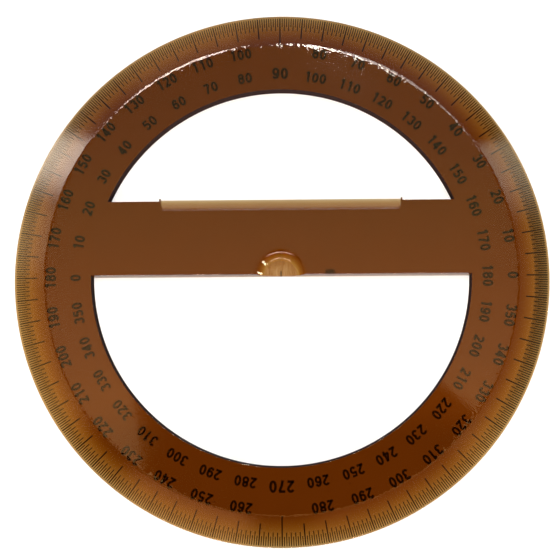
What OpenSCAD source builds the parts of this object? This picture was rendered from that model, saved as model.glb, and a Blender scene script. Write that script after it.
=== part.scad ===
// Full circle protractor, moulded in one piece from tinted transparent acrylic.
// A bevelled ring carries the scale, and a cross bar lies above the 0 to 180 line.
// The scale is engraved in the underside, and black ink fills each mark flush.
// The origin is the centre of the circle on the underside.
// +X points to 0 degrees, +Y to 90 degrees, and +Z is the upper face.

/* [Ring] */
// Outer diameter of the circle
outer_d = 150; // [120:1:250]
// Thickness of the plate
plate_t = 3; // [2.4:0.1:5]
// Width of the ring on the underside, from the outer edge to the windows
ring_w = 22.35; // [19:0.05:30]
// Width of the bevel on the upper face
bevel_w = 8.8; // [7.5:0.1:12]
// Thickness of the outer edge, at the foot of the bevel
edge_t = 0.9; // [0.5:0.1:1.6]
// Radius that softens the ridge between the bevel and the flat
ridge_round = 4; // [1:0.5:6]
// How far the window walls lean back over the thickness of the plate
wall_draft = 0.45; // [0.1:0.05:0.8]

/* [Cross bar] */
// Width of the bar on the underside, from the 0 to 180 line upwards
bar_w = 21.7; // [15:0.1:28]

/* [Thumb ledge] */
// Length of the thinned ledge on the far edge of the bar
ledge_len = 67.4; // [30:0.2:80]
// Width of the ledge on the upper face, inside the edge of the bar
ledge_w = 3.05; // [2:0.05:5]
// How far the wall of the step leans back
step_lean = 0.75; // [0.1:0.05:1]
// Thickness left at the foot of the step
ledge_root_t = 1.75; // [1:0.05:2]
// Thickness left at the lip
ledge_lip_t = 0.7; // [0.4:0.05:0.95]
// Radius of the two inner corners
ledge_corner_r = 0.9; // [0.4:0.1:1.4]
// How far the lip stands out from the edge of the bar
lip_out = 0.25; // [0.1:0.05:1]
// Width of the full height nib that closes each end of the lip
nib_w = 0.45; // [0.3:0.05:1]

/* [Sighting recess] */
// Radius of the half round recess at the upper face
sight_r = 7; // [6:0.1:9]
// Radius of its floor
sight_floor_r = 5; // [3:0.1:5.8]
// Thickness left under the middle of the floor
sight_floor_t = 1; // [0.6:0.1:1.6]
// How far the dished floor rises towards its rim
sight_dish = 0.35; // [0.1:0.05:0.5]

/* [Scale] */
// Plain margin between the marks and the outer edge
scale_margin = 0.5; // [0.3:0.1:1.5]
// Length of a half degree mark
half_mark_len = 2.65; // [1.5:0.05:2.9]
// Length of a degree mark
degree_mark_len = 3.8; // [3:0.1:4.5]
// Length of a five degree mark
five_mark_len = 6.1; // [4.8:0.1:6.5]
// Width of the half degree and degree marks
fine_mark_w = 0.24; // [0.12:0.01:0.28]
// Width of the five degree marks and of the two quarter marks
bold_mark_w = 0.34; // [0.2:0.01:0.42]
// Depth of the engraving
mark_depth = 0.12; // [0.06:0.01:0.2]
// Length of the mark at the centre of the circle
centre_mark_len = 1.6; // [0.8:0.1:3]
// Width of the mark at the centre of the circle
centre_mark_w = 0.3; // [0.2:0.02:0.5]

/* [Hidden] */
$fn = 180;

outer_r = outer_d / 2;
window_r = outer_r - ring_w;
ridge_r = outer_r - bevel_w;
bevel_angle = atan((plate_t - edge_t) / bevel_w);
ridge_reach = ridge_round * tan(bevel_angle / 2);
bar_end_r = (window_r + wall_draft + ridge_r) / 2;

step_top_y = bar_w - ledge_w;
step_foot_y = step_top_y + step_lean;
lip_y = bar_w + lip_out;
ledge_fall = (ledge_root_t - ledge_lip_t) / (lip_y - step_foot_y);
step_slope = step_lean / (plate_t - ledge_root_t);

scale_r = outer_r - scale_margin;

amber = [0.44, 0.22, 0.08];
ink = [0.07, 0.05, 0.04];
overcut = 1;
arc_steps = 6;

// Angles of each row of marks: no mark is drawn twice
half_degree_angles = [for (a = [0:359]) a + 0.5];
degree_angles = [for (a = [0:359]) if (a % 5 != 0) a];
five_degree_angles = [for (a = [0:5:355]) if (a % 180 != 90) a];
quarter_angles = [90, 270];

// Points along an arc, from one angle to another
function arc(centre, r, from, to) = [
    for (i = [0:arc_steps])
        let (a = from + (to - from) * i / arc_steps)
            centre + r * [cos(a), sin(a)]
];

// Runs a cross section given in Y and Z along X, centred on the origin
module along_x(length) {
    translate([-length / 2, 0, 0])
        rotate([90, 0, 90])
            linear_extrude(height = length)
                children();
}

// Cross section of the ring, from the window wall out to the edge
module ring_section() {
    ridge_arc = arc(
        [ridge_r - ridge_reach, plate_t - ridge_round],
        ridge_round, 90 - bevel_angle, 90
    );
    polygon(concat(
        [[window_r, 0], [outer_r, 0], [outer_r, edge_t]],
        ridge_arc,
        [[window_r + wall_draft, plate_t]]
    ));
}

module ring() {
    rotate_extrude() ring_section();
}

// The bar runs into the flat of the ring at both ends
module bar() {
    intersection() {
        cylinder(r = bar_end_r, h = plate_t);
        along_x(outer_d)
            polygon([
                [0, 0],
                [bar_w, 0],
                [bar_w - wall_draft, plate_t],
                [wall_draft, plate_t]
            ]);
    }
}

// Material that stands out from the bar, before the ledge is cut through it
module lip_block() {
    translate([-ledge_len / 2 - nib_w, step_top_y, 0])
        cube([ledge_len + 2 * nib_w, lip_y - step_top_y, plate_t]);
}

// Plan of the ledge, with rounded inner corners
module ledge_plan() {
    corner_x = ledge_len / 2 - ledge_corner_r;
    corner_y = step_top_y + ledge_corner_r;
    polygon(concat(
        [[-ledge_len / 2, lip_y + overcut]],
        arc([-corner_x, corner_y], ledge_corner_r, 180, 270),
        arc([corner_x, corner_y], ledge_corner_r, 270, 360),
        [[ledge_len / 2, lip_y + overcut]]
    ));
}

// Space above the ledge: the step leans back, and the floor falls to the lip
module ledge_cut() {
    beyond_y = lip_y + 2 * overcut;
    intersection() {
        linear_extrude(height = plate_t + overcut) ledge_plan();
        along_x(2 * ledge_len)
            polygon([
                [step_foot_y, ledge_root_t],
                [beyond_y, ledge_lip_t - ledge_fall * 2 * overcut],
                [beyond_y, plate_t + overcut],
                [step_top_y - step_slope * overcut, plate_t + overcut]
            ]);
    }
}

// Points of the dished floor, from its flat middle out to its rim
function dish_point(share) = [
    sight_floor_r * (1 + 4 * share) / 5,
    sight_floor_t + sight_dish * share * share
];

// Half round recess with a sloping wall, open on the 0 to 180 line
module sight_cut() {
    wall_h = plate_t - sight_floor_t - sight_dish;
    spread = (sight_r - sight_floor_r) / wall_h;
    rotate_extrude()
        polygon(concat(
            [[0, sight_floor_t]],
            [for (i = [0:arc_steps]) dish_point(i / arc_steps)],
            [
                [sight_r + spread * overcut, plate_t + overcut],
                [0, plate_t + overcut]
            ]
        ));
}

// One row of radial marks that all end at the scale's outer radius
module mark_row(angles, inner_r, width, below) {
    for (a = angles)
        rotate([0, 0, a])
            translate([inner_r, -width / 2, -below])
                cube([scale_r - inner_r, width, mark_depth + below]);
}

module half_degree_row(below) {
    mark_row(half_degree_angles, scale_r - half_mark_len, fine_mark_w, below);
}

module degree_row(below) {
    mark_row(degree_angles, scale_r - degree_mark_len, fine_mark_w, below);
}

module five_degree_row(below) {
    mark_row(five_degree_angles, scale_r - five_mark_len, bold_mark_w, below);
}

// The two quarter marks reach in to the ridge
module quarter_row(below) {
    mark_row(quarter_angles, ridge_r, bold_mark_w, below);
}

module centre_line(below) {
    translate([-centre_mark_w / 2, -below, -below])
        cube([centre_mark_w, centre_mark_len + below, mark_depth + below]);
}

module plate() {
    color(amber) difference() {
        union() {
            ring();
            bar();
            lip_block();
        }
        ledge_cut();
        sight_cut();
        half_degree_row(overcut);
        degree_row(overcut);
        five_degree_row(overcut);
        quarter_row(overcut);
        centre_line(overcut);
    }
}

// Ink that fills the engraving, level with the underside
module half_degree_marks() {
    color(ink) half_degree_row(0);
}

module degree_marks() {
    color(ink) degree_row(0);
}

module five_degree_marks() {
    color(ink) five_degree_row(0);
}

module quarter_marks() {
    color(ink) quarter_row(0);
}

module centre_mark() {
    color(ink) centre_line(0);
}

plate();
half_degree_marks();
degree_marks();
five_degree_marks();
quarter_marks();
centre_mark();
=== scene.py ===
# %% [markdown]
# This lesson dresses a full circle protractor: one plate of polished amber acrylic, 150 mm across,
# with a scale of fine black marks and two rows of numbers in its underside. The object is almost
# all light, because the plate is clear. What the eye reads is how deep the amber gets with the
# thickness, how the lamps lie on the flat, on the bevel and on the ridge between them, and how the
# ink stays black below it all. The frame comes first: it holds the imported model, in metres.
import math
import bmesh
import bpy
from mathutils import Matrix, Vector


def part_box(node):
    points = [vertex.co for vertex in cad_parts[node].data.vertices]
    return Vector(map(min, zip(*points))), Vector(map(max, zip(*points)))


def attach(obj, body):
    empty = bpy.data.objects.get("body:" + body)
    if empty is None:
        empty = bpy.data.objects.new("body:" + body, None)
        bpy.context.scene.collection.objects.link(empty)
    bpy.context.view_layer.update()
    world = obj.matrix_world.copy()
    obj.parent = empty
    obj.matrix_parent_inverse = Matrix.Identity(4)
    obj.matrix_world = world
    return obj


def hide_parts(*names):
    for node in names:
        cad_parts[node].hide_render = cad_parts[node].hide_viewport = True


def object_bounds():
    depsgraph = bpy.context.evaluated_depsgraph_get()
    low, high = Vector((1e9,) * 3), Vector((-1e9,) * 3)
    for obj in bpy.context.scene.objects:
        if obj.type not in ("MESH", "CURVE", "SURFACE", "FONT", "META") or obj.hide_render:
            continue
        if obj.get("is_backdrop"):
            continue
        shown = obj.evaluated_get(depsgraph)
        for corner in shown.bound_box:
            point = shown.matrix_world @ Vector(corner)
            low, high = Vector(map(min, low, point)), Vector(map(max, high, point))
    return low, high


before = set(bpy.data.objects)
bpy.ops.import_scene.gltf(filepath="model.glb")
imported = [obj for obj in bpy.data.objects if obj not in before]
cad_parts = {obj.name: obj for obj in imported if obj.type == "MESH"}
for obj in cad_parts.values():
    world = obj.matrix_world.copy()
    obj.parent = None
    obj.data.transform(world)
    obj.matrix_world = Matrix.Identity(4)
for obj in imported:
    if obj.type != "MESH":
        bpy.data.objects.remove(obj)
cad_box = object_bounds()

MM = 0.001
plate_low, plate_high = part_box("plate")
outer_r = plate_high.x / MM
plate_t = plate_high.z / MM
print(f"plate: radius {outer_r:.2f} mm, thickness {plate_t:.2f} mm")

# %% [markdown]
# The camera looks almost straight down from 40 cm, as someone does who holds a camera over a
# drawing board. It could be aimed with a constraint, but three small angles say the same and can
# be read: the tilt towards the top of the circle, the lean to the side and the roll.

# %% Camera
PHOTO_SIZE = (555, 550)
CAMERA_PLACE = Vector((8.69, -47.41, 402.6)) * MM
CAMERA_TILT, CAMERA_LEAN, CAMERA_ROLL = 6.786, 1.407, -0.236
LENS = 93.59

camera_data = bpy.data.cameras.new("camera")
camera_data.lens = LENS
camera_data.sensor_width = 36
camera_data.clip_start = 0.01
camera = bpy.data.objects.new("camera", camera_data)
camera.location = CAMERA_PLACE
camera.rotation_euler = [math.radians(a) for a in (CAMERA_TILT, CAMERA_LEAN, CAMERA_ROLL)]
bpy.context.scene.collection.objects.link(camera)
bpy.context.scene.camera = camera
pixels_per_mm = PHOTO_SIZE[0] * LENS / 36 / (CAMERA_PLACE.z / MM)
print(f"camera: {pixels_per_mm:.2f} pixels to a millimetre")

# %% [markdown]
# Every mesh here is modelled in millimetres, because the bevels and cuts are tenths of one, and is
# brought to metres when it is finished. One helper does that, so that each piece's object stays at
# the origin, unturned, with its place in its mesh.

# %% Helper that turns a finished bmesh into an object
def finish_piece(name, bm, smooth_angle=None):
    bmesh.ops.scale(bm, vec=(MM, MM, MM), verts=bm.verts)
    mesh = bpy.data.meshes.new(name)
    bm.to_mesh(mesh)
    bm.free()
    if smooth_angle is not None:
        mesh.shade_smooth()
        mesh.set_sharp_from_angle(angle=math.radians(smooth_angle))
    piece = bpy.data.objects.new(name, mesh)
    bpy.context.scene.collection.objects.link(piece)
    return piece


# %% [markdown]
# The real plate is one moulding. Its ring could be lathed from a cylinder, but a moulded ring is
# easier to think of as a section swept round the centre: a face with five corners. Rounding those
# corners first, while the section is still flat, gives every edge of the ring its own radius: a soft
# 4 mm ridge where the bevel starts, and crisp edges elsewhere. A full spin then closes it.

# %% Sizes of the plate, in millimetres
UNDERSIDE = 0.01
WINDOW_R = 52.65
WALL_DRAFT = 0.45
RIDGE_R = outer_r - 8.8
EDGE_T = 0.9
RIDGE_ROUND = 4.0
CRISP_EDGE = 0.1
RING_STEPS = 720
bevel_angle = math.atan((plate_t - EDGE_T) / (outer_r - RIDGE_R))
ridge_reach = RIDGE_ROUND * math.tan(bevel_angle / 2)
print(f"bevel: {math.degrees(bevel_angle):.2f} degrees")

# %% Section of the ring, swept once round
def rounded_section(corners):
    bm = bmesh.new()
    verts = [bm.verts.new((r, 0, z)) for (r, z), _, _ in corners]
    bm.faces.new(verts)
    for vert, (_, reach, segments) in zip(verts, corners):
        if reach:
            bmesh.ops.bevel(
                bm, geom=[vert], offset=reach, offset_type="OFFSET", affect="VERTICES",
                segments=segments, profile=0.5, material=-1, clamp_overlap=False,
            )
    bmesh.ops.delete(bm, geom=bm.faces[:], context="FACES_KEEP_BOUNDARY")
    return bm


def spin_round(bm, steps):
    bmesh.ops.spin(
        bm, geom=bm.edges[:] + bm.verts[:], cent=(0, 0, 0), axis=(0, 0, 1),
        angle=math.tau, steps=steps, use_merge=True,
    )
    bmesh.ops.remove_doubles(bm, verts=bm.verts, dist=1e-4)
    bmesh.ops.recalc_face_normals(bm, faces=bm.faces)
    return bm


RING_CORNERS = [
    ((WINDOW_R, UNDERSIDE), 0.06, 2),
    ((outer_r, UNDERSIDE), CRISP_EDGE, 3),
    ((outer_r, EDGE_T), CRISP_EDGE, 3),
    ((RIDGE_R, plate_t), ridge_reach, 10),
    ((WINDOW_R + WALL_DRAFT, plate_t), 0.12, 4),
]
ring = spin_round(rounded_section(RING_CORNERS), RING_STEPS)
print(f"ring: {len(ring.faces)} faces, volume {ring.calc_volume():.0f} mm3")

# %% [markdown]
# The cross bar is a plain block with the mould's draft: its two long walls lean back a little, so
# that the moulding lets go. A cube is enough to start from. Its upper corners move in, and its four
# long edges get the same small radius as the ring's.

# %% Cross bar
BAR_W = 21.7
BAR_END_X = 59.0


def make_block(low, high, lean=0.0, edge=0.0):
    bm = bmesh.new()
    bmesh.ops.create_cube(bm, size=1)
    size = Vector(high) - Vector(low)
    bmesh.ops.scale(bm, vec=size, verts=bm.verts)
    bmesh.ops.translate(bm, vec=(Vector(low) + Vector(high)) / 2, verts=bm.verts)
    middle = (low[1] + high[1]) / 2
    for vert in [v for v in bm.verts if v.co.z > (low[2] + high[2]) / 2]:
        vert.co.y += lean if vert.co.y < middle else -lean
    if edge:
        long_edges = [e for e in bm.edges if abs(e.verts[0].co.x - e.verts[1].co.x) > size.x / 2]
        bmesh.ops.bevel(
            bm, geom=long_edges, offset=edge, offset_type="OFFSET", affect="EDGES",
            segments=4, profile=0.5, material=-1,
        )
    return bm


bar = make_block((-BAR_END_X, 0, UNDERSIDE), (BAR_END_X, BAR_W, plate_t), WALL_DRAFT, CRISP_EDGE)

# %% [markdown]
# A ledge for the thumb is thinned into the far edge of the bar: a step, a floor that falls to a thin
# lip, and a nib of full height at each end. The lip stands a hair out of the bar's edge, and its last
# millimetre falls a little faster. It starts as a block that is joined to the bar, and the space
# above it is a second block, cut away.

# %% Thumb ledge: the block that is added and the space that is taken away
LEDGE_LEN = 67.4
NIB_W = 0.45
STEP_TOP_Y = BAR_W - 3.05
STEP_LEAN = 0.75
ROOT_T = 1.75
LIP_T = 0.7
LIP_Y = BAR_W + 0.25
LIP_EDGE_T = 0.42
LIP_EDGE_W = 0.9
LEDGE_CORNER = 0.9


def make_lip():
    return make_block(
        (-LEDGE_LEN / 2 - NIB_W, STEP_TOP_Y, UNDERSIDE), (LEDGE_LEN / 2 + NIB_W, LIP_Y, plate_t)
    )


def make_ledge_space():
    fall = (ROOT_T - LIP_T) / (LIP_Y - STEP_TOP_Y - STEP_LEAN)
    slope = STEP_LEAN / (plate_t - ROOT_T)
    edge_top = LIP_T + fall * LIP_EDGE_W
    edge_fall = (edge_top - LIP_EDGE_T) / LIP_EDGE_W
    section = [
        (STEP_TOP_Y + STEP_LEAN, ROOT_T),
        (LIP_Y - LIP_EDGE_W, edge_top),
        (LIP_Y + 0.5, LIP_EDGE_T - edge_fall * 0.5),
        (LIP_Y + 0.5, plate_t + 1),
        (STEP_TOP_Y - slope, plate_t + 1),
    ]
    bm = bmesh.new()
    face = bm.faces.new([bm.verts.new((-LEDGE_LEN / 2, y, z)) for y, z in section])
    grown = bmesh.ops.extrude_face_region(bm, geom=[face])
    far = [v for v in grown["geom"] if isinstance(v, bmesh.types.BMVert)]
    bmesh.ops.translate(bm, vec=(LEDGE_LEN, 0, 0), verts=far)
    bmesh.ops.recalc_face_normals(bm, faces=bm.faces)
    inner = [
        e for e in bm.edges
        if abs(e.verts[0].co.x - e.verts[1].co.x) < 0.1
        and max(v.co.y for v in e.verts) < STEP_TOP_Y + STEP_LEAN + 0.1
    ]
    bmesh.ops.bevel(
        bm, geom=inner, offset=LEDGE_CORNER, offset_type="OFFSET", affect="EDGES",
        segments=6, profile=0.5, material=-1,
    )
    return bm


lip = make_lip()
ledge_space = make_ledge_space()
print(f"ledge: space of {ledge_space.calc_volume():.0f} mm3")

# %% [markdown]
# The half round recess lets the user see the centre mark on the paper through thin plastic. It is
# a countersink with a slightly dished floor, cut where the bar's near wall runs through its middle.
# A section spun round the centre makes the cutter, with a small flare at the top that rounds the rim.

# %% Recess at the centre
SIGHT_R = 7.0
SIGHT_FLOOR_R = 5.0
SIGHT_FLOOR_T = 1.0
SIGHT_DISH = 0.35
DISH_STEPS = 8
RIM_ROUND = 0.55


def dish_point(share):
    return SIGHT_FLOOR_R * (1 + 4 * share) / 5, SIGHT_FLOOR_T + SIGHT_DISH * share ** 2


def make_sight_space():
    dish = [(dish_point(i / DISH_STEPS), 0, 0) for i in range(DISH_STEPS)]
    corners = [((0, SIGHT_FLOOR_T), 0, 0)] + dish + [
        (dish_point(1), 0.3, 6),
        ((SIGHT_R, plate_t), RIM_ROUND, 6),
        ((SIGHT_R + 1.0, plate_t + 0.02), 0, 0),
        ((SIGHT_R + 1.0, plate_t + 1), 0, 0),
        ((0, plate_t + 1), 0, 0),
    ]
    bm = rounded_section(corners)
    axis_edges = [e for e in bm.edges if max(v.co.x for v in e.verts) < 1e-6]
    bmesh.ops.delete(bm, geom=axis_edges, context="EDGES")
    return spin_round(bm, 128)


sight_space = make_sight_space()
print(f"recess: space of {sight_space.calc_volume():.0f} mm3")

# %% [markdown]
# Union and difference put these together, as a designer's model does. The Boolean modifier's exact
# solver takes the faces that lie in one plane, such as the tops of the ring and of the bar. It works
# on two throwaway objects that are still in millimetres, and its result is loaded back.

# %% Joins and cuts
def throwaway(bm):
    mesh = bpy.data.meshes.new("throwaway")
    bm.to_mesh(mesh)
    bm.free()
    piece = bpy.data.objects.new("throwaway", mesh)
    bpy.context.scene.collection.objects.link(piece)
    return piece


def combine(first_bm, second_bm, operation):
    first, second = throwaway(first_bm), throwaway(second_bm)
    modifier = first.modifiers.new("combine", "BOOLEAN")
    modifier.operation = operation
    modifier.solver = "EXACT"
    modifier.object = second
    graph = bpy.context.evaluated_depsgraph_get()
    made = bpy.data.meshes.new_from_object(first.evaluated_get(graph))
    bm = bmesh.new()
    bm.from_mesh(made)
    for piece in (first, second):
        bpy.data.objects.remove(piece)
    bpy.data.meshes.remove(made)
    open_edges = sum(1 for e in bm.edges if len(e.link_faces) != 2)
    volume = bm.calc_volume()
    print(f"{operation.lower()}: {len(bm.faces)} faces, {open_edges} open edges, {volume:.0f} mm3")
    return bm


body = combine(bar, lip, "UNION")
body = combine(body, ledge_space, "DIFFERENCE")
body = combine(body, sight_space, "DIFFERENCE")
body = combine(body, ring, "UNION")
plate = finish_piece("protractor_plate", body, smooth_angle=32)
even = plate.modifiers.new("flat_faces_stay_flat", "WEIGHTED_NORMAL")
even.keep_sharp = True
even.weight = 100

# %% [markdown]
# A material here is a recipe of nodes. They could be laid out by hand in the shader editor, but in
# code it helps to have one small function for each kind of node: it adds the node, links or sets its
# inputs, and gives back its output. Patterns and bands take their sizes in millimetres.

# %% Helpers that each add a node
def new_material(name):
    material = bpy.data.materials.new(name)
    material.use_nodes = True
    material.node_tree.nodes.clear()
    return material, material.node_tree.nodes, material.node_tree.links


def value_of(links, socket, value):
    if isinstance(value, bpy.types.NodeSocket):
        links.new(value, socket)
    else:
        socket.default_value = value


def math_node(nodes, links, operation, first, second=0.0, third=0.0):
    node = nodes.new("ShaderNodeMath")
    node.operation = operation
    value_of(links, node.inputs[0], first)
    value_of(links, node.inputs[1], second)
    value_of(links, node.inputs[2], third)
    return node.outputs[0]


def map_range(nodes, links, value, from_min, from_max, to_min=0.0, to_max=1.0):
    node = nodes.new("ShaderNodeMapRange")
    node.interpolation_type = "SMOOTHSTEP"
    value_of(links, node.inputs["Value"], value)
    ends = {"From Min": from_min, "From Max": from_max, "To Min": to_min, "To Max": to_max}
    for key, number in ends.items():
        value_of(links, node.inputs[key], number)
    return node.outputs["Result"]


def product(nodes, links, first, *others):
    for other in others:
        first = math_node(nodes, links, "MULTIPLY", first, other)
    return first


def ramp_mm(nodes, links, value, ends, low=0.0, high=1.0):
    return map_range(nodes, links, value, ends[0] * MM, ends[1] * MM, low, high)


def band(nodes, links, value, ends, soft):
    low, high = ends
    rise = ramp_mm(nodes, links, value, (low - soft, low + soft))
    fall = ramp_mm(nodes, links, value, (high + soft, high - soft))
    return product(nodes, links, rise, fall)


def noise(nodes, links, vector, size_mm, detail=3.0, roughness=0.5):
    node = nodes.new("ShaderNodeTexNoise")
    node.inputs["Scale"].default_value = 1 / (size_mm * MM)
    node.inputs["Detail"].default_value = detail
    node.inputs["Roughness"].default_value = roughness
    links.new(vector, node.inputs["Vector"])
    return node.outputs["Fac"]


def stretched(nodes, links, vector, factors):
    node = nodes.new("ShaderNodeVectorMath")
    node.operation = "MULTIPLY"
    node.inputs[1].default_value = factors
    links.new(vector, node.inputs[0])
    return node.outputs[0]


def length_of(nodes, links, vector):
    node = nodes.new("ShaderNodeVectorMath")
    node.operation = "LENGTH"
    links.new(vector, node.inputs[0])
    return node.outputs["Value"]


def parts_of(nodes, links, vector):
    node = nodes.new("ShaderNodeSeparateXYZ")
    links.new(vector, node.inputs[0])
    return node.outputs["X"], node.outputs["Y"], node.outputs["Z"]


def object_place(nodes):
    return nodes.new("ShaderNodeTexCoord").outputs["Object"]


def mix_value(nodes, links, factor, first, second):
    node = nodes.new("ShaderNodeMix")
    value_of(links, node.inputs[0], factor)
    value_of(links, node.inputs[2], first)
    value_of(links, node.inputs[3], second)
    return node.outputs[0]


def mix_colour(nodes, links, factor, first, second):
    node = nodes.new("ShaderNodeMix")
    node.data_type = "RGBA"
    value_of(links, node.inputs[0], factor)
    value_of(links, node.inputs[6], first)
    value_of(links, node.inputs[7], second)
    return node.outputs[2]


def bump(nodes, links, height, depth_mm, strength=1.0, below=None):
    node = nodes.new("ShaderNodeBump")
    node.inputs["Distance"].default_value = depth_mm * MM
    value_of(links, node.inputs["Strength"], strength)
    links.new(height, node.inputs["Height"])
    if below is not None:
        links.new(below, node.inputs["Normal"])
    return node.outputs[0]


def output_surface(nodes, links, surface):
    output = nodes.new("ShaderNodeOutputMaterial")
    links.new(surface, output.inputs["Surface"])
    return output


# %% [markdown]
# A real plate isn't the same all over. Its ridge is buffed a little unevenly and is worn on the far
# left. The recess keeps its cutter's fine lines on the floor, the foot of the ledge's step is tinted
# darker, and the bar's near edge has one small bruise, right of the recess. Such places could be
# painted as a picture, but each is simple to say in numbers, so each becomes a mask: 1 inside, 0
# outside.

# %% Masks for the places that differ
RIDGE_BAND = (RIDGE_R - 1.1, RIDGE_R + 0.4)
WORN_BAND, WORN_X = (RIDGE_R - 1.7, RIDGE_R + 0.1), (-30, -19)
STEP_BAND, STEP_Y = (ROOT_T - 0.2, ROOT_T + 0.6), (STEP_TOP_Y, STEP_TOP_Y + 1)
BRUISE_X, BRUISE_Y = (12.5, 15.1), (0.5, 1.8)
RECESS_FADE = 0.6
FAR_HALF_Y = (0, 10)
STEP_SLOPE = (0.8, 0.6)
RAGGED_SIZE = 0.9


def plate_masks(nodes, links, place):
    x, y, z = parts_of(nodes, links, place)
    radius = length_of(nodes, links, stretched(nodes, links, place, (1, 1, 0)))
    ridge = band(nodes, links, radius, RIDGE_BAND, 0.3)
    recess = ramp_mm(nodes, links, radius, (SIGHT_FLOOR_R, SIGHT_FLOOR_R - RECESS_FADE))

    far_half = ramp_mm(nodes, links, y, FAR_HALF_Y)
    worn_x = band(nodes, links, x, WORN_X, 3)
    worn_r = band(nodes, links, radius, WORN_BAND, 0.4)
    worn = product(nodes, links, worn_x, worn_r, far_half)

    normal = nodes.new("ShaderNodeNewGeometry").outputs["Normal"]
    upright = math_node(nodes, links, "ABSOLUTE", parts_of(nodes, links, normal)[2])
    sloping = map_range(nodes, links, upright, *STEP_SLOPE)
    foot = band(nodes, links, z, STEP_BAND, 0.1)
    step = product(nodes, links, sloping, foot, band(nodes, links, y, STEP_Y, 0.1))

    ragged = noise(nodes, links, place, RAGGED_SIZE, 2, 0.6)
    ragged = map_range(nodes, links, ragged, 0.25, 0.48)
    bruise_x = band(nodes, links, x, BRUISE_X, 0.6)
    bruise_y = band(nodes, links, y, BRUISE_Y, 0.4)
    bruise = product(nodes, links, bruise_x, bruise_y, ragged)
    return {"ridge": ridge, "recess": recess, "worn": worn, "step": step, "bruise": bruise}


# %% [markdown]
# Clear plastic still has some colour of its own on the surface: a faint uneven tint, fine lines on
# the recess's floor, and a few dark specks. Each layer is mixed over the one before by its mask.

# %% Tint of the surface
PALE_TINT = (0.955, 0.955, 0.955, 1)
LINE_DARK, LINE_LIGHT = (0.74, 0.56, 0.5, 1), (0.94, 0.85, 1, 1)
SPECK_COLOUR = (0.3, 0.26, 0.25, 1)
BRUISE_COLOUR = (0.14, 0.13, 0.15, 1)
STEP_COLOUR = (0.8, 0.7, 0.6, 1)
SPECK_CELL, CLOUD_SIZE = 6, 9


def surface_tint(nodes, links, place, masks, lines):
    cells = nodes.new("ShaderNodeTexVoronoi")
    cells.inputs["Scale"].default_value = 1 / (SPECK_CELL * MM)
    links.new(place, cells.inputs["Vector"])
    specks = map_range(nodes, links, cells.outputs["Distance"], 0.045, 0.03, 0.0, 0.8)
    cloudy = map_range(nodes, links, noise(nodes, links, place, CLOUD_SIZE, 3, 0.6), 0.3, 0.7)
    colour = mix_colour(nodes, links, cloudy, PALE_TINT, (1, 1, 1, 1))
    line_colour = mix_colour(nodes, links, lines, LINE_DARK, LINE_LIGHT)
    colour = mix_colour(nodes, links, masks["recess"], colour, line_colour)
    colour = mix_colour(nodes, links, specks, colour, SPECK_COLOUR)
    colour = mix_colour(nodes, links, masks["bruise"], colour, BRUISE_COLOUR)
    return mix_colour(nodes, links, masks["step"], colour, STEP_COLOUR)


# %% [markdown]
# Bumps tilt the light without moving a vertex: hairline scratches everywhere, soft waves on the
# ridge, scuffs where it is worn, and the cutter's lines in the recess. They are laid one on another.

# %% Relief of the surface
HAIRLINE_DEPTH, WAVE_DEPTH, SCUFF_DEPTH, LINE_DEPTH = 0.001, 0.08, 0.035, 0.01
HAIRLINE_SIZE, WAVE_SIZE, SCUFF_SIZE = 0.35, 1.3, 0.8


def surface_relief(nodes, links, place, masks, lines):
    hairlines = noise(nodes, links, place, HAIRLINE_SIZE, 2, 0.5)
    relief = bump(nodes, links, hairlines, HAIRLINE_DEPTH, 0.4)
    waves = noise(nodes, links, place, WAVE_SIZE, 1, 0.5)
    relief = bump(nodes, links, waves, WAVE_DEPTH, masks["ridge"], relief)
    scuffs = noise(nodes, links, place, SCUFF_SIZE, 2, 0.6)
    relief = bump(nodes, links, scuffs, SCUFF_DEPTH, masks["worn"], relief)
    return bump(nodes, links, lines, LINE_DEPTH, masks["recess"], relief)


# %% [markdown]
# Amber acrylic is clear, and its colour lies in its depth: the 0.9 mm edge looks like pale honey, and
# the full 3 mm like strong tea. Painting those colours on would fail from any other side, so the
# colour is made the way the real one is, by light lost along its path inside the plate. An
# absorption of 2350 per metre in blue, half that in green and a quarter in red does it.
# The surface is polished, but not new: soft smears vary its gloss.

# %% Amber acrylic
ABSORPTION_COLOUR = (0.739, 0.503, 0.0, 1)
ABSORPTION_DENSITY = 2352
ACRYLIC_IOR = 1.49
POLISH, SMEARED, CUT_FLOOR = 0.045, 0.085, 0.16
SMEAR_SIZE, CUT_LINE_SIZE = 14, 0.5
ALONG_THE_CUT = (1, 0.08, 0.3)


def amber_acrylic():
    material, nodes, links = new_material("amber_acrylic")
    place = object_place(nodes)
    masks = plate_masks(nodes, links, place)
    along = stretched(nodes, links, place, ALONG_THE_CUT)
    lines = noise(nodes, links, along, CUT_LINE_SIZE, 2, 0.6)
    lines = map_range(nodes, links, lines, 0.35, 0.65)
    smears = noise(nodes, links, place, SMEAR_SIZE, 4, 0.6)
    gloss = map_range(nodes, links, smears, 0.35, 0.75, POLISH, SMEARED)
    gloss = mix_value(nodes, links, masks["recess"], gloss, CUT_FLOOR)

    shader = nodes.new("ShaderNodeBsdfPrincipled")
    shader.inputs["IOR"].default_value = ACRYLIC_IOR
    shader.inputs["Transmission Weight"].default_value = 1.0
    links.new(surface_tint(nodes, links, place, masks, lines), shader.inputs["Base Color"])
    links.new(gloss, shader.inputs["Roughness"])
    links.new(surface_relief(nodes, links, place, masks, lines), shader.inputs["Normal"])
    depth = nodes.new("ShaderNodeVolumeAbsorption")
    depth.inputs["Color"].default_value = ABSORPTION_COLOUR
    depth.inputs["Density"].default_value = ABSORPTION_DENSITY
    output = output_surface(nodes, links, shader.outputs[0])
    links.new(depth.outputs[0], output.inputs["Volume"])
    return material


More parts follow.
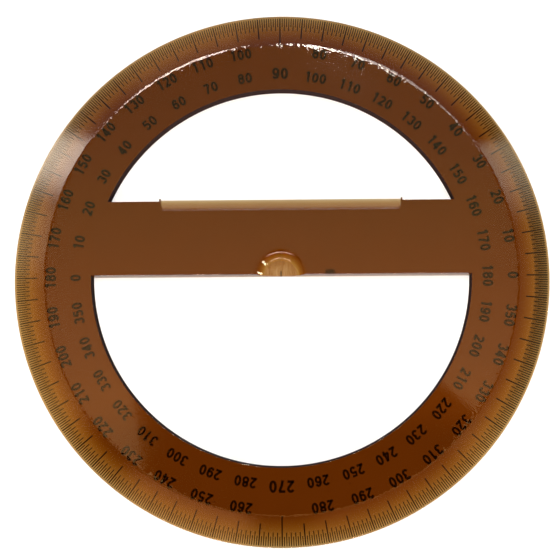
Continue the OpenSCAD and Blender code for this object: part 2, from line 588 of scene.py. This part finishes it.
plate.data.materials.clear()
plate.data.materials.append(amber_acrylic())
print(f"amber acrylic: {ABSORPTION_DENSITY} per metre, index {ACRYLIC_IOR}")

# %% [markdown]
# The windows' round walls are dull, as they left the mould, and look dark because almost no light
# comes out of them. That dark is painted shade: the walls get an opaque dark material of their own.
# A mask could find them too. But a wall is a set of whole faces, so they get a second material,
# chosen by how far each face is from the centre and how upright it stands.

# %% Dull walls of the windows, dark with painted shade
WALL_SHADE_COLOUR = (0.026, 0.019, 0.02, 1)
WALL_REACH_R = 0.6
WALL_UPRIGHT = 0.945


def dull_wall():
    material, nodes, links = new_material("dull_wall")
    shader = nodes.new("ShaderNodeBsdfPrincipled")
    # The dark base colour is painted shade: the real walls are clear plastic that lets little light
    # out.
    shader.inputs["Base Color"].default_value = WALL_SHADE_COLOUR
    shader.inputs["Roughness"].default_value = 1.0
    shader.inputs["Specular IOR Level"].default_value = 0.0
    output_surface(nodes, links, shader.outputs[0])
    return material


def is_window_wall(face):
    face_r = math.hypot(face.center.x, face.center.y) / MM
    return abs(face_r - WINDOW_R) < WALL_REACH_R and abs(face.normal.z) < WALL_UPRIGHT


plate.data.materials.append(dull_wall())
wall_faces = [face for face in plate.data.polygons if is_window_wall(face)]
for face in wall_faces:
    face.material_index = 1
print(f"window walls: {len(wall_faces)} faces of {len(plate.data.polygons)}")
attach(plate, "root")
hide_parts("plate")

# %% [markdown]
# The marks are grooves wiped full of black ink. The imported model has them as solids, one for each
# mark, so they stay and only get their ink: a dull, slightly uneven black. The broad strokes of the
# numbers hold the ink less well than the grooves do, so theirs lets some of the amber through. Ink
# that is stuck to acrylic has no shine of its own under it, so the shader's specular level is 0.

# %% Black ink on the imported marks
INK_DARK, INK_LIGHT = (0.012, 0.007, 0.005, 1), (0.05, 0.03, 0.022, 1)
FULL_COVER, THIN_COVER = 1.0, 0.66
INK_NODES = (
    "half_degree_marks", "degree_marks", "five_degree_marks", "quarter_marks", "centre_mark",
)


def black_ink(name, cover):
    material, nodes, links = new_material(name)
    fleck = noise(nodes, links, object_place(nodes), 0.4, 3, 0.6)
    shader = nodes.new("ShaderNodeBsdfPrincipled")
    shade = mix_colour(nodes, links, fleck, INK_DARK, INK_LIGHT)
    links.new(shade, shader.inputs["Base Color"])
    links.new(map_range(nodes, links, fleck, 0.3, 0.7, 0.5, 0.75), shader.inputs["Roughness"])
    shader.inputs["Specular IOR Level"].default_value = 0.0
    shader.inputs["Alpha"].default_value = cover
    output_surface(nodes, links, shader.outputs[0])
    return material


ink = black_ink("black_ink", FULL_COVER)
thin_ink = black_ink("thin_ink", THIN_COVER)
for name in INK_NODES:
    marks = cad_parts[name]
    marks.data.materials.clear()
    marks.data.materials.append(ink)
    print(f"{name}: inked")

# %% [markdown]
# Two rows of numbers count in opposite directions. Each digit is drawn with strokes of one width,
# as an engraver's template does, from straight runs and arcs of ellipses in a box one unit high.
# A curve turns each stroke into a flat ribbon, and solidify gives the ribbon its thickness.

# %% Strokes of the ten digits
DIGIT_W = 0.62
STROKE = 0.215
ARC_STEP = 22.5


def bow(centre, radii, start, end):
    steps = max(2, round(abs(end - start) / ARC_STEP))
    angles = [math.radians(start + (end - start) * i / steps) for i in range(steps + 1)]
    return [(centre[0] + radii[0] * math.cos(a), centre[1] + radii[1] * math.sin(a)) for a in angles]


side = (DIGIT_W - STROKE) / 2
top = 1 - STROKE / 2
foot = STROKE / 2
waist = 0.5
bowl = (top - waist) / 2
DIGITS = {
    "0": [bow((0, waist), (side, top - waist), 90, 450)],
    "1": [[(-0.16, 0.78), (-0.04, 0.84), (0.06, 1.0)], [(0.06, 1.0), (0.06, 0)]],
    "2": [
        bow((0, top - side), (side, side), 165, -35) + [(-side, 0.06)],
        [(-side - 0.07, foot), (side + 0.07, foot)],
    ],
    "3": [
        bow((0, waist + bowl + 0.02), (side * 0.92, bowl - 0.02), 160, -75),
        bow((0, foot + 0.235), (side, 0.235), 80, -160),
    ],
    "4": [
        [(0.1, 0), (0.1, 1.0)],
        [(0.08, 0.93), (-side - 0.02, 0.3)],
        [(-side - 0.07, 0.29), (side + 0.07, 0.29)],
    ],
    "5": [
        [(side, top), (-side + 0.05, top), (-side, 0.5)],
        bow((0, foot + 0.25), (side, 0.25), 140, -155),
    ],
    "6": [
        bow((0, foot + 0.24), (side, 0.24), 180, -180),
        bow((0.03, waist), (side + 0.03, top - waist), 180, 35),
    ],
    "7": [
        [(-side - 0.07, top), (side + 0.03, top)],
        [(side, top - 0.02), (0.02, 0.45), (-0.06, 0)],
    ],
    "8": [
        bow((0, waist + bowl + 0.03), (side * 0.9, bowl - 0.03), 90, 450),
        bow((0, foot + 0.225), (side, 0.225), 90, 450),
    ],
    "9": [
        bow((0, top - 0.24), (side, 0.24), 0, 360),
        bow((-0.03, waist), (side + 0.03, top - waist), 0, -145),
    ],
}

# %% One digit as a thin mesh
INK_T = 0.05


def digit_mesh(digit):
    curve = bpy.data.curves.new("digit_" + digit, "CURVE")
    curve.dimensions = "3D"
    curve.twist_mode = "Z_UP"
    curve.extrude = STROKE / 2
    for stroke in DIGITS[digit]:
        closed = math.dist(stroke[0], stroke[-1]) < 1e-6
        points = stroke[:-1] if closed else stroke
        spline = curve.splines.new("POLY")
        spline.points.add(len(points) - 1)
        for point, (x, y) in zip(spline.points, points):
            point.co = (x, y, 0, 1)
            point.tilt = math.pi / 2
        spline.use_cyclic_u = closed
    drawn = bpy.data.objects.new("digit", curve)
    bpy.context.scene.collection.objects.link(drawn)
    graph = bpy.context.evaluated_depsgraph_get()
    mesh = bpy.data.meshes.new_from_object(drawn.evaluated_get(graph))
    bpy.data.objects.remove(drawn)
    bm = bmesh.new()
    bm.from_mesh(mesh)
    bmesh.ops.solidify(bm, geom=bm.faces[:], thickness=1.0)
    bmesh.ops.recalc_face_normals(bm, faces=bm.faces)
    low = min(v.co.z for v in bm.verts)
    bmesh.ops.translate(bm, vec=(0, -0.5, -low), verts=bm.verts)
    bm.to_mesh(mesh)
    bm.free()
    return mesh


digit_meshes = {digit: digit_mesh(digit) for digit in DIGITS}
print("faces of each digit:", {d: len(m.polygons) for d, m in digit_meshes.items()})

# %% [markdown]
# The outer row counts to the left from 0, the inner row to the right, so the plate reads either way
# round. Every number stands with its head outwards. At 90 and 270 there is one number for both rows.

# %% Rows of numbers
DIGIT_GAP = 0.09
OUTER_ROW_R, INNER_ROW_R = 64.8, 57.8
DIGIT_H, BIG_DIGIT_H = 3.05, 3.45


def place_number(bm, number, radius, angle, height):
    digits = str(number)
    pitch = DIGIT_W + DIGIT_GAP
    for index, digit in enumerate(digits):
        start = len(bm.verts)
        bm.from_mesh(digit_meshes[digit])
        bm.verts.ensure_lookup_table()
        fresh = bm.verts[start:]
        along = (index - (len(digits) - 1) / 2) * pitch
        bmesh.ops.translate(bm, vec=(along, 0, 0), verts=fresh)
        bmesh.ops.scale(bm, vec=(height, height, INK_T), verts=fresh)
        bmesh.ops.translate(bm, vec=(0, radius, 0), verts=fresh)
        turn = Matrix.Rotation(math.radians(angle - 90), 3, "Z")
        bmesh.ops.rotate(bm, cent=(0, 0, 0), matrix=turn, verts=fresh)


def number_row(name, radius, number_at):
    bm = bmesh.new()
    for angle in range(0, 360, 10):
        number = number_at(angle)
        if number is None:
            continue
        if angle in (90, 270):
            place_number(bm, number, radius + 0.5, angle, BIG_DIGIT_H)
        else:
            place_number(bm, number, radius, angle, DIGIT_H)
    print(f"{name}: {len(bm.faces)} faces")
    row = finish_piece(name, bm)
    row.data.materials.append(thin_ink)
    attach(row, "root")
    return row


number_row("outer_numbers", OUTER_ROW_R, lambda a: None if a in (90, 270) else a)
number_row("inner_numbers", INNER_ROW_R, lambda a: (180 - a) % 360 if a != 270 else 270)

# %% [markdown]
# The plate lies on a plain white sheet. Under clear plastic a floor has two duties: it is the light
# that comes up through the plate, and it is the white background. So the floor is a white diffuse
# sheet that also glows where the camera or a mirror image sees it, and for rays through the plate it
# is all glow. The diffuse share takes the object's shadow, but with the glow it comes to full white,
# so the shadow doesn't show. The glow under the plate has a pattern of its own, set by comparing with
# the real object: it falls off to the far side, it is weaker at the very front, as if the camera
# stood in the light, and it is dim between the close black lines of the scale at the left and right.

# %% Floor
FLOOR_Z = -0.03
FLOOR_HALF = 1500
FLOOR_GLOW = 0.72
FLOOR_COLOUR = (0.36, 0.36, 0.36, 1)
SCALE_BAND = (70.9, 74.5)
FAR_SHARE, NEAR_SHARE, CAMERA_SHADOW = 0.63, 1.0, 0.77
FALL_OFF_Y = (70, -45)
SHADOW_X, SHADOW_Y = (62, 46), (-34, -46)
SIDE_SHADES = {"left": (-45, -73, 0.7), "right": (50, 78, 0.36)}


def light_from_below(nodes, links):
    place = object_place(nodes)
    x, y, _ = parts_of(nodes, links, place)
    near = ramp_mm(nodes, links, y, FALL_OFF_Y, FAR_SHARE, NEAR_SHARE)
    shadow_x = ramp_mm(nodes, links, math_node(nodes, links, "ABSOLUTE", x), SHADOW_X)
    shadow = product(nodes, links, shadow_x, ramp_mm(nodes, links, y, SHADOW_Y))
    shade = mix_value(nodes, links, shadow, near, CAMERA_SHADOW)
    strip = band(nodes, links, length_of(nodes, links, place), SCALE_BAND, 0.5)
    for start, end, share in SIDE_SHADES.values():
        side_share = ramp_mm(nodes, links, x, (start, end), 1.0, share)
        shade = product(nodes, links, shade, mix_value(nodes, links, strip, 1.0, side_share))
    return shade


def white_sheet():
    material, nodes, links = new_material("white_sheet")
    path = nodes.new("ShaderNodeLightPath")
    seen = math_node(
        nodes, links, "MAXIMUM", path.outputs["Is Camera Ray"], path.outputs["Is Glossy Ray"]
    )
    paper = nodes.new("ShaderNodeBsdfDiffuse")
    paper.inputs["Color"].default_value = FLOOR_COLOUR
    glow = nodes.new("ShaderNodeEmission")
    links.new(product(nodes, links, seen, FLOOR_GLOW), glow.inputs["Strength"])
    both = nodes.new("ShaderNodeAddShader")
    links.new(paper.outputs[0], both.inputs[0])
    links.new(glow.outputs[0], both.inputs[1])
    through = nodes.new("ShaderNodeEmission")
    links.new(light_from_below(nodes, links), through.inputs["Strength"])
    pick = nodes.new("ShaderNodeMixShader")
    links.new(path.outputs["Is Transmission Ray"], pick.inputs[0])
    links.new(both.outputs[0], pick.inputs[1])
    links.new(through.outputs[0], pick.inputs[2])
    output_surface(nodes, links, pick.outputs[0])
    return material


floor_bm = bmesh.new()
bmesh.ops.create_grid(floor_bm, x_segments=1, y_segments=1, size=FLOOR_HALF)
bmesh.ops.translate(floor_bm, vec=(0, 0, FLOOR_Z), verts=floor_bm.verts)
floor = finish_piece("floor", floor_bm)
floor.data.materials.append(white_sheet())
floor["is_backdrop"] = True
print(f"floor: {2 * FLOOR_HALF / 1000:.0f} m square")

# %% [markdown]
# Polished plastic shows the lamps themselves, so they are laid out like a studio's: soft cards hang
# high over the table in front of a dark ceiling, each with edges as soft or as crisp as the streak
# that it has to draw. A card's place is given by its angles from straight above, to the side and to
# the far edge, because a flat, a bevel and a ridge each mirror their own range of angles. The far
# cards draw the bright line along the ridge, and the side cards lie on the bevel. The low cards are
# for the recess: the one behind the camera draws the line on its rim, and two put the glints in it.

# %% Soft cards, by the angles where their light rises and falls away
CARD_Z = 3000
CARD_STEP = 12
SOFT_CARDS = {
    "far_centre": dict(side=(-0.1, 0.9, 4, 7), far=(17.4, 19, 39, 41), light=(32, 30, 26)),
    "far_right": dict(side=(3, 6, 11, 20), far=(17.4, 20, 37, 40), light=(9, 8.2, 7.2)),
    "far_left": dict(side=(-21, -13, -9, -7), far=(20, 24, 37, 39.5), light=(27, 22.5, 19)),
    "far_left_fill": dict(side=(-30, -24, -12, -6), far=(33, 37, 44, 50), light=(1.0, 0.5, 0.2)),
    "far_haze": dict(side=(-46, -34, 24, 34), far=(20, 30, 52, 60), light=(0.22, 0.28, 0.32)),
    "left_key": dict(side=(-48, -42, -31, -26), far=(20.5, 27.5, 30, 32.4), light=(10, 8.6, 7)),
    "left_middle": dict(side=(-50, -44, -31, -26), far=(6, 14, 20, 26), light=(0.9, 0.95, 0.75)),
    "left_fill": dict(side=(-52, -46, -30, -22), far=(-20, -13, 18, 24), light=(1.9, 1.0, 0.33)),
    "right_key": dict(side=(24, 30, 42, 48), far=(16, 26, 28.8, 30.4), light=(2.8, 2.6, 2.0)),
    "right_fill": dict(side=(22, 30, 46, 52), far=(-26, -14, 18, 24), light=(0.6, 0.4, 0.2)),
    "near_left": dict(side=(-29, -23, -10, -4), far=(-41, -36, -27, -21), light=(2.1, 0.85, 0.3)),
    "near_right": dict(side=(1, 8, 30, 36), far=(-38, -34, -22, -16), light=(0.8, 0.25, 0.08)),
    "near_line": dict(side=(-22, -14, 24, 32), far=(-23, -18, -13, -9), light=(1.3, 0.65, 0.2)),
}
LOW_CARD_Z = 1400
GLINT_LIGHT = (34, 31, 19)
LOW_CARDS = {
    "behind_camera": dict(side=(-50, -40, 40, 50), far=(-68, -64, -52, -46), light=(16, 11, 8.5)),
    "low_right": dict(side=(74.5, 75.2, 77.2, 78), far=(-18, -14, -2, 2), light=GLINT_LIGHT),
    "low_near_right": dict(
        side=(67.5, 68.5, 71.5, 72.5), far=(-64, -62.5, -59.5, -58), light=GLINT_LIGHT,
    ),
}


def reach_of(angle, height):
    return math.tan(math.radians(angle)) * height


def card(name, corners, z, material):
    bm = bmesh.new()
    bm.faces.new([bm.verts.new((x, y, z)) for x, y in corners])
    piece = finish_piece(name, bm)
    piece.data.materials.append(material)
    piece.visible_camera = False
    piece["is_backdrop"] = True


def clear_with_glow(nodes, links, glow):
    both = nodes.new("ShaderNodeAddShader")
    links.new(nodes.new("ShaderNodeBsdfTransparent").outputs[0], both.inputs[0])
    links.new(glow.outputs[0], both.inputs[1])
    output_surface(nodes, links, both.outputs[0])


def soft_glow(name, side, far, light):
    material, nodes, links = new_material(name)
    x, y, _ = parts_of(nodes, links, object_place(nodes))
    mask = 1.0
    for along, (start, full, fade, end) in ((x, side), (y, far)):
        rise = ramp_mm(nodes, links, along, (start, full))
        fall = ramp_mm(nodes, links, along, (end, fade))
        mask = product(nodes, links, mask, rise, fall)
    glow = nodes.new("ShaderNodeEmission")
    brightness = max(light)
    glow.inputs["Color"].default_value = (*[part / brightness for part in light], 1)
    links.new(product(nodes, links, mask, brightness), glow.inputs["Strength"])
    clear_with_glow(nodes, links, glow)
    return material


def soft_card(name, height, side, far, light):
    side = [reach_of(angle, height) for angle in side]
    far = [reach_of(angle, height) for angle in far]
    corners = [(side[0], far[0]), (side[3], far[0]), (side[3], far[3]), (side[0], far[3])]
    card(name, corners, height, soft_glow(name, side, far, light))


for height, cards in ((CARD_Z, SOFT_CARDS), (LOW_CARD_Z, LOW_CARDS)):
    for index, (name, sizes) in enumerate(cards.items()):
        soft_card(name, height + index * CARD_STEP, **sizes)
print(f"cards: {len(SOFT_CARDS) + len(LOW_CARDS)}")

# %% [markdown]
# Behind the cards hangs a dark ceiling, so that the bevel's near side keeps its own deep colour. A
# broad card lower down fades from a warm glow near the camera to almost nothing at the back, and
# puts a thin veil on the flat. A dark flag round the lens keeps that veil off the near part.

# %% Ceiling, veil and flag
CEILING_Z, CEILING_HALF = 3300, 4200
CLOTH_COLOUR = (0.005, 0.005, 0.005, 1)
VEIL_Z = 1000
VEIL_CORNERS = [(-450, -140), (450, -140), (450, 400), (-450, 400)]
VEIL_FULL_X = 260
VEIL_STRENGTH = 2.6
VEIL_STOPS = {
    0.0: (0.72, 0.44, 0.175),
    0.11: (0.54, 0.37, 0.17),
    0.294: (0.42, 0.295, 0.13),
    0.475: (0.27, 0.25, 0.108),
    0.63: (0.21, 0.187, 0.095),
    1.0: (0.14, 0.11, 0.048),
}
FLAG_Z = 405
FLAG_CORNERS = [(-78, -160), (120, -160), (120, -45), (70, -5), (-90, -10)]


def veil():
    material, nodes, links = new_material("veil_card")
    x, y, _ = parts_of(nodes, links, object_place(nodes))
    side_end, far_end = VEIL_CORNERS[2]
    ramp = nodes.new("ShaderNodeValToRGB")
    links.new(math_node(nodes, links, "DIVIDE", y, far_end * MM), ramp.inputs[0])
    while len(ramp.color_ramp.elements) < len(VEIL_STOPS):
        ramp.color_ramp.elements.new(0.5)
    for element, (position, colour) in zip(ramp.color_ramp.elements, VEIL_STOPS.items()):
        element.position = position
        element.color = (*colour, 1)
    aside = math_node(nodes, links, "ABSOLUTE", x)
    fade = ramp_mm(nodes, links, aside, (side_end, VEIL_FULL_X))
    glow = nodes.new("ShaderNodeEmission")
    links.new(product(nodes, links, fade, VEIL_STRENGTH), glow.inputs["Strength"])
    links.new(ramp.outputs[0], glow.inputs["Color"])
    clear_with_glow(nodes, links, glow)
    return material


def dark_cloth():
    material, nodes, links = new_material("dark_cloth")
    shader = nodes.new("ShaderNodeBsdfDiffuse")
    shader.inputs["Color"].default_value = CLOTH_COLOUR
    output_surface(nodes, links, shader.outputs[0])
    return material


def square(half):
    return [(-half, -half), (half, -half), (half, half), (-half, half)]


black = dark_cloth()
card("ceiling", square(CEILING_HALF), CEILING_Z, black)
card("veil_card", VEIL_CORNERS, VEIL_Z, veil())
card("lens_flag", FLAG_CORNERS, FLAG_Z, black)
print(f"ceiling at {CEILING_Z} mm, veil at {VEIL_Z} mm, flag at {FLAG_Z} mm")

# %% [markdown]
# Three warm brown walls stand far out round the table, on the near side, the left and the right. The
# recess's sloping wall mirrors what stands low, and it would turn grey in front of a white room.
# The sheet's own light isn't theirs to take, so only mirrored rays meet them.

# %% Warm walls
WALL_REACH, WALL_HEIGHT, WALL_FAR_END = 8500, 7000, 1500
WALL_LIGHT = (0.8, 0.33, 0.09, 1)


def warm_wall(name, start, end, material):
    bm = bmesh.new()
    low = [bm.verts.new((*place, FLOOR_Z)) for place in (start, end)]
    high = [bm.verts.new((*place, WALL_HEIGHT)) for place in (end, start)]
    bm.faces.new(low + high)
    piece = finish_piece(name, bm)
    piece.data.materials.append(material)
    piece.visible_camera = False
    piece.visible_diffuse = False
    piece.visible_transmission = False
    piece.visible_shadow = False
    piece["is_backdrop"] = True


def warm_paint():
    material, nodes, links = new_material("warm_paint")
    glow = nodes.new("ShaderNodeEmission")
    glow.inputs["Color"].default_value = WALL_LIGHT
    output_surface(nodes, links, glow.outputs[0])
    return material


paint = warm_paint()
near_corners = (-WALL_REACH, -WALL_REACH), (WALL_REACH, -WALL_REACH)
warm_wall("near_wall", *near_corners, paint)
warm_wall("left_wall", near_corners[0], (-WALL_REACH, WALL_FAR_END), paint)
warm_wall("right_wall", near_corners[1], (WALL_REACH, WALL_FAR_END), paint)
print(f"walls: {WALL_REACH} mm out, {WALL_HEIGHT} mm high")

# %% [markdown]
# The room beyond the cards is a plain pale grey. It looks white to the camera, and also in the
# plastic and through it, so that the sheet seems to go on for ever from a low view.

# %% World
ROOM_LIGHT = 0.7


def pale_room():
    world = bpy.data.worlds.new("studio")
    bpy.context.scene.world = world
    world.use_nodes = True
    nodes, links = world.node_tree.nodes, world.node_tree.links
    path = nodes.new("ShaderNodeLightPath")
    seen = math_node(
        nodes, links, "MAXIMUM", path.outputs["Is Camera Ray"], path.outputs["Is Transmission Ray"]
    )
    seen = math_node(nodes, links, "MAXIMUM", seen, path.outputs["Is Glossy Ray"])
    nodes["Background"].inputs["Color"].default_value = (1, 1, 1, 1)
    strength = mix_value(nodes, links, seen, ROOM_LIGHT, 1.0)
    links.new(strength, nodes["Background"].inputs["Strength"])


pale_room()
bpy.context.scene.view_settings.view_transform = "Standard"
print(f"room: {ROOM_LIGHT} of white as light, white as background")

# %% Sizes, and the end
visual_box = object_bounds()
sizes = {
    "cad": [list(corner) for corner in cad_box],
    "visual": [list(corner) for corner in visual_box],
}
print("sizes:", sizes)
